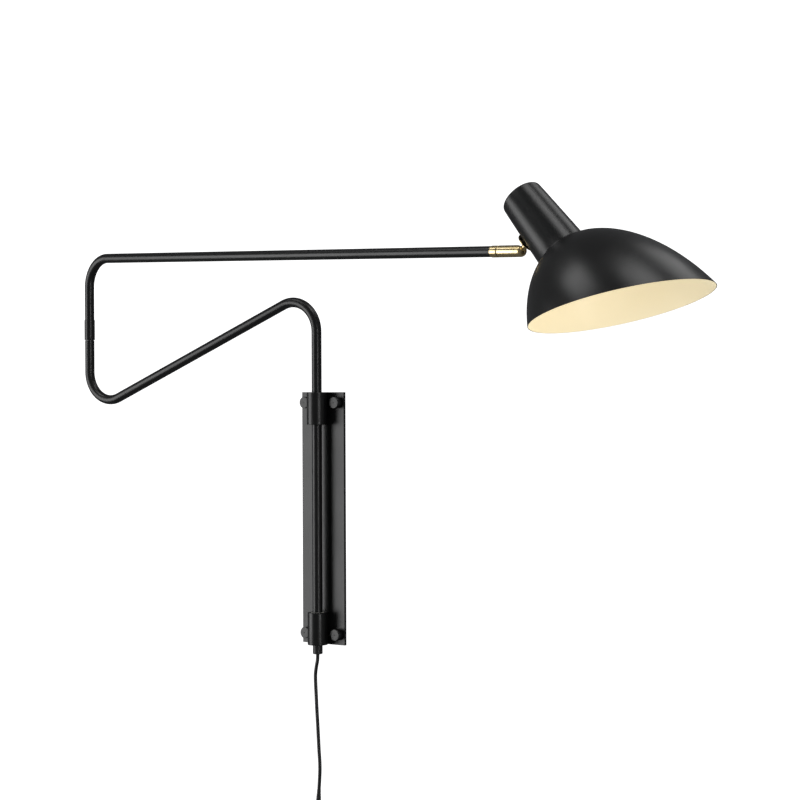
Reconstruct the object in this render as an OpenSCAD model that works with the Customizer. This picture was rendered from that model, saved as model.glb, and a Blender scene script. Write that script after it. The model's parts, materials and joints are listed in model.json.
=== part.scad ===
// Swing arm wall sconce with a plug-in cord.
// The wall is the plane y = 0, the room is at -y, and z is up. The origin is the middle of the
// wall plate's back. The lower arm turns in two clamps on the plate, the upper arm turns on the
// elbow, and the shade hangs from a slotted ball swivel at the upper arm's end.

/* [Wall plate] */
// Width of the wall plate
plate_w = 70; // [62:1:90]
// Height of the wall plate
plate_h = 327; // [290:1:400]
// Depth of the plate's turned-back edges
plate_depth = 4; // [3.8:0.1:8]
// Thickness of the plate's sheet
plate_sheet = 1.5; // [1:0.1:1.8]
// Distance of each knob's centre from the plate's side
knob_inset_x = 10; // [9:0.5:13]
// Distance of each knob's centre from the plate's end
knob_inset_z = 13.5; // [10:0.5:20]
// Diameter of a corner knob
knob_d = 15; // [10:0.5:17]
// Height of a corner knob
knob_h = 8.5; // [6:0.5:14]
// Diameter of the studs that the knobs screw onto
knob_stud_d = 4; // [3:0.5:5]

/* [Wall fixing] */
// Thickness of the hidden wall bracket
bracket_t = 2; // [1.5:0.1:2]
// Distance between the wall screws, side to side
wall_screw_gap_x = 30; // [24:1:36]
// Distance between the wall screws, up and down
wall_screw_gap_z = 200; // [120:5:210]
// Diameter of the wall screw holes
wall_screw_hole_d = 5; // [4:0.5:6]

/* [Clamps] */
// Wall of each clamp round its widest bore
clamp_wall = 4.5; // [4:0.1:6.5]
// Length of each clamp
clamp_len = 42; // [38:1:60]
// Metal between a clamp's widest bore and the plate
clamp_foot = 3.5; // [3:0.1:3.9]
// Wall of the bushes
bush_wall = 0.95; // [0.75:0.05:1.2]
// Length of a bush
bush_len = 16; // [10:1:16]

/* [Arms] */
// Outside diameter of the arm tubes
tube_d = 13; // [12.6:0.1:13.2]
// Wall thickness of the arm tubes
tube_wall = 1.2; // [1:0.1:1.6]
// Radius of every bend, to the tube's centre
bend_r = 39; // [26:1:45]
// Distance from the wall tube to the elbow's axis
lower_reach = 400; // [250:1:520]
// Height above the plate's middle where the wall tube and the diagonal would meet
lower_rise = 300; // [280:1:330]
// Slope of the lower arm's diagonal
diagonal_angle = 22.6; // [10:0.1:24]
// How far the wall tube's gland sticks out under the lower clamp
tube_drop = 12; // [8:0.5:20]
// Length of the upper arm from the elbow's axis to the tube's end
upper_reach = 754; // [400:1:900]
// Height of the elbow sleeve's foot above the diagonal's lower corner
elbow_rise = 102.8; // [90:0.1:140]
// Height of the upper arm's corner above the elbow sleeve's foot
upper_rise = 113.7; // [100:0.1:160]
// Sag of the upper arm below level
arm_droop = 1.7; // [0:0.1:3]

/* [Resting pose] */
// How far the lower arm stands out from the wall
lower_swing = 2.4; // [0:0.1:60]
// How far the upper arm stands out from the wall
upper_swing = 6.2; // [0:0.1:60]
// Slope of the shade's axis below level
shade_down = 46.4; // [40:0.1:52]

/* [Elbow] */
// Wall of the elbow sleeve round the upper arm's tube
sleeve_wall = 0.7; // [0.5:0.05:1.5]
// Length of the elbow sleeve
sleeve_len = 28; // [26:1:40]
// Step in from the tube's bore to the elbow's pivot journal
journal_step = 0.8; // [0.6:0.05:1.1]

/* [Swivel] */
// How far the brass barrel and its end ring stand out past the tube
barrel_lip = 0.5; // [0.4:0.05:1]
// Length of the end ring
end_ring_len = 10.4; // [6:0.2:14]
// Length of the barrel in front of the ring
barrel_len = 27; // [26:0.5:44]
// Wall of the slotted cup round the ball
head_wall = 0.9; // [0.85:0.05:1.1]
// Distance from the ball's centre to the neck's wall
stud_reach = 15.7; // [15:0.1:18]

/* [Shade] */
// Radius of the neck at its closed top
neck_top_r = 25.1; // [24.5:0.1:30]
// Growth of the neck's radius per length
neck_taper = 0.06; // [0.02:0.01:0.1]
// Distance from the neck's top to the ball, along the axis
ball_along = 44; // [40:0.5:46]
// Largest radius of the dome
dome_r = 113; // [95:1:140]
// Half length of the dome's oval, along the axis
dome_half_len = 191; // [165:1:205]
// Distance from the neck's top to the middle of the dome's oval
dome_mid = 276; // [262:1:285]
// Where the rim's plane crosses the axis, from the neck's top
rim_along = 185.5; // [170:0.5:200]
// Tilt of the rim's plane towards the arm
rim_tilt = 29.1; // [10:0.1:30]
// Thickness of the shade's sheet
shade_sheet = 1.2; // [0.8:0.1:1.6]

/* [Lamp] */
// Diameter of the lampholder's body
holder_d = 38; // [34:0.5:40]
// Diameter of the bulb's globe
bulb_d = 45; // [40:1:46]

/* [Cord] */
// Diameter of the cord
cord_d = 4.6; // [4:0.1:4.8]

/* [Hidden] */
$fn = 96;

// Clearances: between moving pieces, and round a shaft that turns in a bore
gap = 0.3;
running = 0.05;
// Overlap that lets a cut pass right through a face
cut = 1;
// How far a straight runs into its bend, as a share of the bend's radius, and how much a bend
// narrows the tube
bend_overlap = 0.025;
bend_draw = 0.2;

// Fits that follow the tube
tube_bore_d = tube_d - 2 * tube_wall;
bush_d = tube_d + 2 * (running + bush_wall);
collar_shelf = 1;
collar_hole_d = bush_d + 2 * collar_shelf;
collar_d = collar_hole_d - 2 * gap;
clamp_d = collar_hole_d + 2 * clamp_wall;
tube_stand_off = collar_hole_d / 2 + clamp_foot;
sleeve_d = tube_d + 2 * sleeve_wall;
journal_d = tube_bore_d - 2 * journal_step;
nipple_step = 0.4;
nipple_d = tube_bore_d - 2 * nipple_step;
barrel_d = tube_d + 2 * barrel_lip;
head_d = barrel_d - 0.2;
ball_d = head_d - 2 * (head_wall + gap);

// Plate and clamps
tube_y = plate_depth + tube_stand_off;
knob_x = plate_w / 2 - knob_inset_x;
knob_z = plate_h / 2 - knob_inset_z;
clamp_mid_z = plate_h / 2 - clamp_len / 2;
clamp_screw_d = 4;
clamp_screw_head_d = 8;
clamp_screw_gap = 24;
clamp_screw_bite = clamp_foot - gap;
bracket_margin = 3;
bracket_w = plate_w - 2 * (plate_sheet + bracket_margin);
bracket_h = plate_h - 2 * (plate_sheet + bracket_margin);

// Stop collar in the lower clamp's counterbore
collar_len = 8;
washer_t = 1.6;
// Free length over the collar, up to the bush that closes the counterbore
collar_room = 6.1;
cap_bush_len = clamp_len - bush_len - washer_t - gap - collar_len - collar_room;
shelf_z = -plate_h / 2 + bush_len;
collar_z = shelf_z + washer_t + gap;
tube_end_z = -plate_h / 2 - 0.8;
gland_end_z = -plate_h / 2 - tube_drop;

// Arms
elbow_foot_z = lower_rise - lower_reach * tan(diagonal_angle);
sleeve_z = elbow_foot_z + elbow_rise;
elbow_washer_t = 0.8;
lower_top_z = sleeve_z - gap - elbow_washer_t;
shelf_in_sleeve = 15.7;
riser_seat = 18.7;
upper_corner_z = sleeve_z + upper_rise;
lower_path = [[0, tube_end_z], [0, lower_rise], [lower_reach, elbow_foot_z],
    [lower_reach, lower_top_z]];
upper_path = [[0, sleeve_z + riser_seat], [0, upper_corner_z],
    [upper_reach * cos(arm_droop), upper_corner_z - upper_reach * sin(arm_droop)]];
cable_d = 4.6;

// Swivel, measured along the upper arm from its corner
ring_x = upper_reach;
barrel_x = ring_x + end_ring_len + 0.6 + gap;
head_x = barrel_x + barrel_len;
barrel_bore_len = 10;
nipple_end_x = barrel_x + barrel_bore_len + 3;
ball_x = head_x + 5.3;
cavity_d = ball_d + 2 * gap;
slot_w = 7;
stem_d = slot_w - 2 * gap;
head_plug_len = 6.4;

// Shade, measured in the shade's own frame: z runs from the neck's top to the opening, and x
// points to the arm's side
neck_lean = atan(neck_taper);
function neck_r(z) = neck_top_r + neck_taper * z;
ball_off = neck_r(ball_along) + stud_reach / cos(neck_lean);
stud_d = 8;
lock_nut_z = 9.4;
lock_nut_t = 3.5;
disc_z = lock_nut_z + lock_nut_t + gap;
disc_t = 1.2;
disc_d = 26;
bracket_leg_t = 2;
// How far the inner washer stands off the strap's hollow, and how thick it is
washer_stand = 1.3;
inner_washer_t = 1.2;
inner_washer_start = stud_reach + shade_sheet + bracket_leg_t + washer_stand;
inner_washer_end = inner_washer_start + inner_washer_t;
stud_nut_t = 4;
stud_end = inner_washer_end + gap + stud_nut_t + 1.5;
// Height at which the neck's cone and the dome's oval have the same radius
oval_ratio = pow(dome_r / dome_half_len, 2);
crease_a = pow(neck_taper, 2) + oval_ratio;
crease_b = 2 * (neck_top_r * neck_taper - oval_ratio * dome_mid);
crease_c = pow(neck_top_r, 2) + oval_ratio * pow(dome_mid, 2) - pow(dome_r, 2);
crease_z = (-crease_b - sqrt(pow(crease_b, 2) - 4 * crease_a * crease_c)) / (2 * crease_a);

// Lampholder, in the shade's frame
shelf_along = 55;
holder_z = shelf_along + bracket_leg_t;
holder_cap_len = 9;
holder_len = 36;
holder_wall = 3.2;
nipple_bore_d = 6.4;
holder_nipple_d = 10;
contact_z = holder_z + holder_cap_len + 6;
bulb_cap_z = contact_z + 4;
bulb_cap_d = 26.4;
bulb_cap_len = 25;
globe_z = bulb_cap_z + bulb_cap_len + 27;

// The cord hangs from the gland on the wall tube's axis, through a switch, to a tied coil
switch_len = 54;
switch_w = 25;
switch_d = 17;
switch_top_z = -372;
coil_r = 25.3;
coil_side = 3 * cord_d;
coil_z = -486;
tail_x = coil_r + cord_d;
plug_top_z = -512;
plug_w = 35.3;
plug_t = 13.7;
plug_len = 34;
pin_d = 4;
pin_len = 19;
pin_gap = 18.6;
// The thinner root that each pin is moulded in by
pin_root_d = 3.4;
pin_root_len = 8;
rocker_r = 8.6;
rocker_w = 11;
rocker_y = -3.6;
rocker_tilt = 7;
DROP_ROUTE = [[0, -16, -175.8], [-0.6, -16, -184], [-2.4, -16, -192], [-4, -16, -202], [-3.8, -16, -214],
    [-3, -16, -228], [-2.2, -16, -243], [-1.2, -16, -258], [-0.2, -16, -273], [0.7, -16, -288],
    [1.6, -16, -302], [2.6, -16, -315], [2.8, -16, -327], [1.8, -16, -343], [0.7, -16, -358],
    [0, -16, -372]];
LEAD_ROUTE = [[0, -16, -426], [0, -16, -434], [1, -17, -442], [4, -18.6, -449], [9, -20, -455.7],
    [15, -20.6, -460]];
TAIL_ROUTE = [[29.9, -11.4, -486], [29.9, -12, -494], [29.9, -14, -503], [29.9, -16, -512]];

// Colours
BLACK = [0.10, 0.10, 0.105];
BRASS = [0.86, 0.76, 0.50];
STEEL = [0.72, 0.73, 0.75];
NYLON = [0.85, 0.84, 0.80];

// ---- Frames that the sub-parts sit in ----

module on_wall_tube() {
    translate([0, -tube_y, 0]) children();
}

// x runs from the wall tube to the elbow
module on_lower_arm() {
    on_wall_tube() rotate([0, 0, 180 + lower_swing]) children();
}

// The elbow's axis is z, and x runs along the upper arm
module on_elbow() {
    translate([-lower_reach * cos(lower_swing), -tube_y - lower_reach * sin(lower_swing), 0])
        rotate([0, 0, -upper_swing]) children();
}

// x runs along the drooping upper arm from its corner
module on_arm() {
    on_elbow() translate([0, 0, upper_corner_z]) rotate([0, arm_droop, 0]) children();
}

module on_ball() {
    on_arm() translate([ball_x, 0, 0]) children();
}

// z runs down the shade's axis from the neck's top
module on_shade() {
    on_ball() rotate([0, 90 + shade_down - arm_droop, 0])
        translate([-ball_off, 0, -ball_along]) children();
}

// z runs from the ball's centre into the neck's side
module on_stud() {
    on_shade() translate([ball_off, 0, ball_along]) rotate([0, neck_lean - 90, 0]) children();
}

// ---- Shared shapes ----

// Turned piece: rows of [z, radius] down its side
module turned(rows) {
    rotate_extrude() polygon(concat([[0, rows[0][0]]], [for (p = rows) [p[1], p[0]]],
        [[0, rows[len(rows) - 1][0]]]));
}

module ring(outer_d, inner_d, h) {
    difference() {
        cylinder(d = outer_d, h = h);
        translate([0, 0, -cut]) cylinder(d = inner_d, h = h + 2 * cut);
    }
}

module hex_nut(across, bore, h) {
    difference() {
        cylinder(d = across / cos(30), h = h, $fn = 6);
        translate([0, 0, -cut]) cylinder(d = bore, h = h + 2 * cut);
    }
}

module along_x(x) {
    translate([x, 0, 0]) rotate([0, 90, 0]) children();
}

module bar(from, to, d) {
    step = to - from;
    translate([from.x, 0, from.y]) rotate([0, atan2(step.x, step.y), 0]) cylinder(d = d, h = norm(step));
}

// A quarter or other arc of round bar, in the xz plane
module bend(start, side, way, turn, r, d) {
    centre = start + side * r * [-way.y, way.x];
    first = atan2(start.y - centre.y, start.x - centre.x);
    translate([centre.x, 0, centre.y]) rotate([90, 0, 0]) rotate([0, 0, side > 0 ? first : first - turn])
        rotate_extrude(angle = turn) translate([r, 0]) circle(d = d);
}

function unit(v) = v / norm(v);
function turn_at(path, i) = acos(min(1, unit(path[i] - path[i - 1]) * unit(path[i + 1] - path[i])));
// Length of straight that a bend at corner i takes up
function taken(path, i, r) = (i == 0 || i == len(path) - 1) ? 0 : r * tan(turn_at(path, i) / 2);

// Round bar that runs straight between a path's corners and bends at each. A bend is drawn in by
// a hair, and the straights run on into it for a little, as a mandrel leaves them.
module bent_bar(path, r, d, past_ends = 0) {
    last = len(path) - 1;
    for (i = [1 : last]) {
        way = unit(path[i] - path[i - 1]);
        from = i == 1 ? -past_ends : taken(path, i - 1, r) - bend_overlap * r;
        to = i == last ? -past_ends : taken(path, i, r) - bend_overlap * r;
        bar(path[i - 1] + way * from, path[i] - way * to, d);
    }
    for (i = [1 : last - 1]) {
        way = unit(path[i] - path[i - 1]);
        next = unit(path[i + 1] - path[i]);
        bend(path[i] - way * taken(path, i, r), sign(way.x * next.y - way.y * next.x), way,
            turn_at(path, i), r, d - bend_draw);
    }
}

module bent_tube(path, r, d, bore) {
    difference() {
        bent_bar(path, r, d);
        bent_bar(path, r, bore, cut);
    }
}

// Frames and rings of a swept cord
function tangent(p, i) = unit(p[min(i + 1, len(p) - 1)] - p[max(i - 1, 0)]);
function across(t) = unit(cross(t, [0, 1, 0]));
function ring_points(p, i, d, sides) = let (t = tangent(p, i), u = across(t), v = cross(t, u))
    [for (k = [0 : sides - 1]) p[i] + d / 2 * (cos(360 * k / sides) * u + sin(360 * k / sides) * v)];

module swept_cord(points, d, sides = 10) {
    n = len(points);
    polyhedron(
        points = [for (i = [0 : n - 1]) each ring_points(points, i, d, sides)],
        faces = concat(
            [[for (k = [0 : sides - 1]) k]],
            [for (i = [0 : n - 2], k = [0 : sides - 1])
                let (a = i * sides + k, b = i * sides + (k + 1) % sides) [a, a + sides, b + sides, b]],
            [[for (k = [0 : sides - 1]) n * sides - 1 - k]]));
}

// The four knob places on the wall plate
module at_knobs() {
    for (x = [-1, 1], z = [-1, 1])
        translate([x * knob_x, 0, z * knob_z]) rotate([90, 0, 0]) children();
}

// The clamp screws: two behind each clamp
module at_clamp_screws() {
    for (side = [-1, 1], z = [-1, 1])
        translate([0, 0, side * clamp_mid_z + z * clamp_screw_gap / 2]) rotate([90, 0, 0]) children();
}

// ---- Wall unit ----

module wall_bracket() {
    color(STEEL) difference() {
        translate([-bracket_w / 2, -bracket_t, -bracket_h / 2]) cube([bracket_w, bracket_t, bracket_h]);
        at_knobs() translate([0, 0, -cut]) cylinder(d = knob_stud_d, h = bracket_t + 2 * cut);
        at_clamp_screws() translate([0, 0, -cut])
            cylinder(d = clamp_screw_head_d + 2, h = bracket_t + 2 * cut);
        for (x = [-1, 1], z = [-1, 1])
            translate([x * wall_screw_gap_x / 2, cut, z * wall_screw_gap_z / 2]) rotate([90, 0, 0])
                cylinder(d = wall_screw_hole_d, h = bracket_t + 2 * cut);
    }
}

// Studs that are pressed into the bracket and carry the corner knobs
module bracket_studs() {
    color(STEEL) at_knobs() cylinder(d = knob_stud_d, h = plate_depth + knob_h - 2);
}

module back_plate() {
    color(BLACK) difference() {
        translate([-plate_w / 2, -plate_depth, -plate_h / 2]) cube([plate_w, plate_depth, plate_h]);
        translate([-plate_w / 2 + plate_sheet, -plate_depth + plate_sheet, -plate_h / 2 + plate_sheet])
            cube([plate_w - 2 * plate_sheet, plate_depth, plate_h - 2 * plate_sheet]);
        at_knobs() cylinder(d = knob_stud_d + 0.6, h = plate_depth + cut);
        at_clamp_screws() cylinder(d = clamp_screw_d + 0.4, h = plate_depth + cut);
    }
}

module corner_knobs() {
    edge = 0.6;
    color(BLACK) at_knobs() translate([0, 0, plate_depth]) difference() {
        turned([[0, knob_d / 2], [knob_h - edge, knob_d / 2], [knob_h, knob_d / 2 - edge]]);
        translate([0, 0, -cut]) cylinder(d = knob_stud_d, h = knob_h - 1.8 + cut);
    }
}

// A clamp's solid body with a flat that stands on the plate and its tapped holes
module clamp_body(side) {
    difference() {
        on_wall_tube() translate([0, 0, side * clamp_mid_z - clamp_len / 2])
            cylinder(d = clamp_d, h = clamp_len);
        translate([-clamp_d, -plate_depth, side * clamp_mid_z - clamp_len])
            cube([2 * clamp_d, clamp_d, 2 * clamp_len]);
        at_clamp_screws() translate([0, 0, plate_depth - cut])
            cylinder(d = clamp_screw_d, h = clamp_screw_bite + cut);
    }
}

module upper_clamp() {
    color(BLACK) difference() {
        clamp_body(1);
        on_wall_tube() translate([0, 0, clamp_mid_z - clamp_len / 2 - cut])
            cylinder(d = bush_d, h = clamp_len + 2 * cut);
    }
}

module lower_clamp() {
    color(BLACK) difference() {
        clamp_body(-1);
        on_wall_tube() translate([0, 0, -plate_h / 2 - cut]) cylinder(d = bush_d, h = clamp_len + 2 * cut);
        on_wall_tube() translate([0, 0, shelf_z]) cylinder(d = collar_hole_d, h = clamp_len);
    }
}

// Countersunk screws that hold the clamps to the plate from behind
module clamp_screws() {
    head = 2.2;
    seat = plate_depth - plate_sheet;
    color(STEEL) at_clamp_screws() translate([0, 0, seat - 1]) difference() {
        union() {
            cylinder(d = clamp_screw_d, h = plate_sheet + 1 + clamp_screw_bite - 0.3);
            cylinder(d = clamp_screw_head_d, h = 1);
        }
        translate([0, 0, -cut]) cylinder(d = 2.5, h = 0.7 + cut, $fn = 6);
    }
}

module upper_bushes() {
    color(NYLON) on_wall_tube() for (z = [plate_h / 2 - bush_len, plate_h / 2 - clamp_len])
        translate([0, 0, z]) ring(bush_d, tube_d + 2 * running, bush_len);
}

module lower_bush() {
    color(NYLON) on_wall_tube() translate([0, 0, -plate_h / 2])
        ring(bush_d, tube_d + 2 * running, bush_len);
}

// Closes the counterbore over the stop collar
module cap_bush() {
    color(NYLON) on_wall_tube() translate([0, 0, -plate_h / 2 + clamp_len - cap_bush_len])
        ring(collar_hole_d, tube_d + 2 * running, cap_bush_len);
}

module thrust_washer() {
    color(BRASS) on_wall_tube() translate([0, 0, shelf_z])
        ring(collar_hole_d - 0.4, tube_d + 2 * gap, washer_t);
}

// ---- Lower arm ----

module lower_arm_tube() {
    color(BLACK) on_lower_arm() bent_tube(lower_path, bend_r, tube_d, tube_bore_d);
}

// Carries the arm's weight on the thrust washer inside the lower clamp
module stop_collar() {
    color(STEEL) difference() {
        on_wall_tube() translate([0, 0, collar_z]) ring(collar_d, tube_d, collar_len);
        on_lower_arm() translate([0, 0, collar_z + collar_len / 2]) rotate([0, 90, 0])
            cylinder(d = 3, h = collar_d);
    }
}

module collar_screw() {
    color(STEEL) on_lower_arm() translate([tube_d / 2, 0, collar_z + collar_len / 2]) rotate([0, 90, 0])
        cylinder(d = 3, h = (collar_d - tube_d) / 2 - 0.1);
}

// Guides the cord out of the wall tube's foot
module cord_gland() {
    flange_d = tube_d - 0.3;
    color(BLACK) on_wall_tube() difference() {
        union() {
            translate([0, 0, gland_end_z]) turned([[0, flange_d / 2 - 0.8], [0.8, flange_d / 2],
                [tube_end_z - gland_end_z, flange_d / 2]]);
            translate([0, 0, tube_end_z - cut]) cylinder(d = tube_bore_d, h = 12 + cut);
        }
        translate([0, 0, gland_end_z - cut]) cylinder(d = cord_d + 2 * gap, h = 40);
    }
}

module lower_cable() {
    path = [[0, gland_end_z + 14], [0, lower_rise], [lower_reach, elbow_foot_z],
        [lower_reach, sleeve_z + riser_seat - 1]];
    color([0.2, 0.2, 0.2]) on_lower_arm() bent_bar(path, bend_r, cable_d);
}

// Plug in the lower arm's riser with the journal that the elbow sleeve turns on
module elbow_stud() {
    plug_len = 25;
    groove_z = sleeve_z + shelf_in_sleeve + gap;
    top_z = sleeve_z + riser_seat - gap;
    color(STEEL) on_lower_arm() translate([lower_reach, 0, 0]) difference() {
        union() {
            translate([0, 0, lower_top_z - plug_len]) cylinder(d = tube_bore_d, h = plug_len);
            translate([0, 0, lower_top_z - cut]) cylinder(d = journal_d, h = top_z - lower_top_z + cut);
        }
        translate([0, 0, groove_z]) ring(journal_d + cut, journal_d - 1.2, 1.2);
        translate([0, 0, lower_top_z - plug_len - cut]) cylinder(d = cable_d + 2 * gap, h = plug_len + 60);
    }
}

module elbow_washer() {
    color(BLACK) on_lower_arm() translate([lower_reach, 0, lower_top_z])
        ring(tube_d - 0.6, journal_d + 0.2, elbow_washer_t);
}

module elbow_clip() {
    color(STEEL) on_lower_arm() translate([lower_reach, 0, sleeve_z + shelf_in_sleeve + gap])
        difference() {
            ring(tube_d - 1, journal_d - 1.2, 1.2);
            translate([0, -1.5, -cut]) cube([tube_d, 3, 4]);
        }
}

// ---- Upper arm ----

module elbow_sleeve() {
    edge = 0.4;
    color(BLACK) on_elbow() translate([0, 0, sleeve_z]) difference() {
        turned([[0, sleeve_d / 2 - edge], [edge, sleeve_d / 2], [sleeve_len - edge, sleeve_d / 2],
            [sleeve_len, sleeve_d / 2 - edge]]);
        translate([0, 0, -cut]) cylinder(d = journal_d + 2 * running, h = sleeve_len);
        translate([0, 0, shelf_in_sleeve]) cylinder(d = tube_d, h = sleeve_len);
    }
}

module upper_arm_tube() {
    color(BLACK) on_elbow() bent_tube(upper_path, bend_r, tube_d, tube_bore_d);
}

module end_ring() {
    edge = 0.5;
    color(BRASS) on_arm() along_x(ring_x) difference() {
        turned([[0, barrel_d / 2 - edge], [edge, barrel_d / 2], [end_ring_len - edge, barrel_d / 2],
            [end_ring_len, barrel_d / 2 - edge]]);
        translate([0, 0, -cut]) cylinder(d = nipple_d, h = end_ring_len + 2 * cut);
    }
}

// Hollow pivot that the barrel turns on
module end_nipple() {
    plug_len = 15;
    color(BRASS) on_arm() difference() {
        union() {
            along_x(ring_x - plug_len) cylinder(d = tube_bore_d, h = plug_len);
            along_x(ring_x - cut) cylinder(d = nipple_d, h = nipple_end_x - ring_x + cut);
        }
        along_x(barrel_x + barrel_bore_len + gap) ring(nipple_d + cut, nipple_d - 1.2, 1.2);
        along_x(ring_x - plug_len - cut) cylinder(d = cable_d + 2 * gap, h = 80);
    }
}

module barrel_washer() {
    color(BLACK) on_arm() along_x(ring_x + end_ring_len) ring(barrel_d - 1.2, nipple_d, 0.6);
}

module barrel_clip() {
    color(STEEL) on_arm() along_x(barrel_x + barrel_bore_len + gap) difference() {
        ring(nipple_d + 1.2, nipple_d - 1.2, 1.2);
        translate([-1.5, 0, -cut]) cube([3, nipple_d, 4]);
    }
}

module upper_cable() {
    path = [upper_path[0] + [0, gap], upper_path[1],
        upper_path[1] + (nipple_end_x + 6) * [cos(arm_droop), -sin(arm_droop)]];
    color([0.2, 0.2, 0.2]) on_elbow() bent_bar(path, bend_r, cable_d);
}

// ---- Swivel ----

module swivel_barrel() {
    edge = 0.5;
    color(BRASS) on_arm() difference() {
        along_x(barrel_x)
            turned([[0, barrel_d / 2 - edge], [edge, barrel_d / 2], [barrel_len, barrel_d / 2]]);
        along_x(barrel_x - cut) cylinder(d = nipple_d + 2 * running, h = barrel_len + 2 * cut);
        along_x(barrel_x + barrel_bore_len) cylinder(d = barrel_d - 2.2, h = barrel_len);
        translate([head_x - head_plug_len / 2, 0, 0]) rotate([180, 0, 0]) cylinder(d = 2.5, h = barrel_d);
    }
}

// Slotted, round-ended cup that holds the ball
module swivel_head() {
    plug_d = barrel_d - 2.2;
    color(BRASS) on_arm() difference() {
        union() {
            along_x(head_x - head_plug_len) cylinder(d = plug_d, h = head_plug_len + cut);
            along_x(head_x) cylinder(d = head_d, h = ball_x - head_x);
            intersection() {
                translate([ball_x, 0, 0]) sphere(d = head_d);
                along_x(ball_x - cut) cylinder(d = head_d, h = head_d);
            }
        }
        along_x(head_x - head_plug_len - cut)
            cylinder(d = ball_d + 0.1, h = head_plug_len + cut + ball_x - head_x);
        translate([ball_x, 0, 0]) sphere(d = cavity_d);
        translate([ball_x - slot_w / 2, -slot_w / 2, -slot_w / 2]) cube([head_d, slot_w, head_d]);
        translate([head_x - head_plug_len / 2, 0, 0]) rotate([180, 0, 0]) cylinder(d = 2.5, h = barrel_d);
    }
}

module head_screw() {
    color(STEEL) on_arm() translate([head_x - head_plug_len / 2, 0, 0]) rotate([180, 0, 0])
        translate([0, 0, ball_d / 2 + 0.1]) cylinder(d = 2.5, h = barrel_d / 2 - ball_d / 2 - 0.2);
}

// ---- Ball stud ----

module ball_stud() {
    color(BRASS) on_stud() difference() {
        union() {
            sphere(d = ball_d);
            cylinder(d = stem_d, h = lock_nut_z);
            translate([0, 0, lock_nut_z - 0.4]) cylinder(d = stud_d, h = stud_end - lock_nut_z + 0.4);
        }
        translate([0, 0, -ball_d]) cylinder(d = 3, h = stud_end + 2 * ball_d);
    }
}

module lock_nut() {
    color(BRASS) on_stud() translate([0, 0, lock_nut_z]) hex_nut(11, stud_d, lock_nut_t);
}

module stud_nut() {
    color(STEEL) on_stud() translate([0, 0, inner_washer_end + gap]) hex_nut(13, stud_d, stud_nut_t);
}

// ---- Shade ----

// The neck's outside, or a face parallel to it further in, as a solid cone
module neck_cone(inset, low, high) {
    turned([[low, neck_r(low) - inset], [high, neck_r(high) - inset]]);
}

module stud_disc() {
    color(BRASS) on_stud() translate([0, 0, disc_z]) difference() {
        turned([[0, disc_d / 2 - 0.5], [0.5, disc_d / 2], [disc_t, disc_d / 2]]);
        translate([0, 0, -cut]) cylinder(d = stud_d + 2 * gap, h = disc_t + 2 * cut);
    }
}

// Fills the space between the flat disc and the round neck
module saddle_spacer() {
    color(BLACK) difference() {
        on_stud() translate([0, 0, disc_z + disc_t]) ring(15, stud_d + 2 * gap, 3);
        on_shade() neck_cone(0, 5, 85);
    }
}

module shade_neck() {
    edge = 2.5;
    seat = crease_z - 0.3;
    color(BLACK) difference() {
        on_shade() rotate_extrude() {
            polygon([[0, 0], [neck_top_r - edge, 0],
                for (a = [15 : 15 : 75]) [neck_top_r - edge + edge * sin(a), edge - edge * cos(a)],
                [neck_r(edge), edge], [neck_r(seat), seat], [neck_r(seat) - shade_sheet, seat],
                [neck_r(edge) - shade_sheet, edge],
                for (a = [75 : -15 : 15]) [neck_top_r - edge + (edge - shade_sheet) * sin(a),
                    edge - (edge - shade_sheet) * cos(a)],
                [neck_top_r - edge, shade_sheet], [0, shade_sheet]]);
        }
        on_stud() cylinder(d = stud_d + 2 * gap, h = stud_reach + 8);
    }
}

module shade_dome() {
    steps = 44;
    far = dome_mid - 0.5;
    near = crease_z;
    // Even steps of angle along the oval, from the crease to past the rim
    first = acos((dome_mid - near) / dome_half_len);
    last = acos((dome_mid - far) / dome_half_len);
    function oval(r, h, a) = [r * sin(a), dome_mid - h * cos(a)];
    color(BLACK) on_shade() difference() {
        rotate_extrude() polygon(concat(
            [for (i = [0 : steps]) oval(dome_r, dome_half_len, first + (last - first) * i / steps)],
            [for (i = [steps : -1 : 0]) oval(dome_r - shade_sheet, dome_half_len - shade_sheet,
                first + (last - first) * i / steps)]));
        translate([0, 0, rim_along]) rotate([0, rim_tilt, 0]) translate([-3 * dome_r, -2 * dome_r, 0])
            cube([6 * dome_r, 4 * dome_r, 3 * dome_r]);
    }
}

// Strap that the stud clamps to the neck and the lampholder hangs on
module holder_bracket() {
    half_w = 8;
    color(STEEL) difference() {
        union() {
            on_shade() intersection() {
                difference() {
                    neck_cone(shade_sheet, 30, holder_z);
                    neck_cone(shade_sheet + bracket_leg_t, 30 - cut, holder_z + cut);
                }
                translate([0, -half_w, 0]) cube([60, 2 * half_w, 100]);
            }
            on_shade() intersection() {
                neck_cone(shade_sheet, shelf_along, holder_z);
                translate([-12, -half_w, 0]) cube([60, 2 * half_w, 100]);
            }
        }
        on_stud() cylinder(d = stud_d + 2 * gap, h = stud_end + 8);
        on_shade() translate([0, 0, shelf_along - cut])
            cylinder(d = holder_nipple_d, h = bracket_leg_t + 2 * cut);
    }
}

// Stands clear of the strap's hollow side, so that the nut has a flat seat
module inner_washer() {
    color(STEEL) on_stud() translate([0, 0, inner_washer_start])
        ring(15, stud_d + 2 * gap, inner_washer_t);
}

module holder_nipple() {
    color(BRASS) on_shade() translate([0, 0, shelf_along - 5]) ring(holder_nipple_d, nipple_bore_d, 16);
}

// Nut above the strap
module nipple_nut() {
    color(BRASS) on_shade() translate([0, 0, shelf_along - 3]) hex_nut(14, holder_nipple_d, 3);
}

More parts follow.
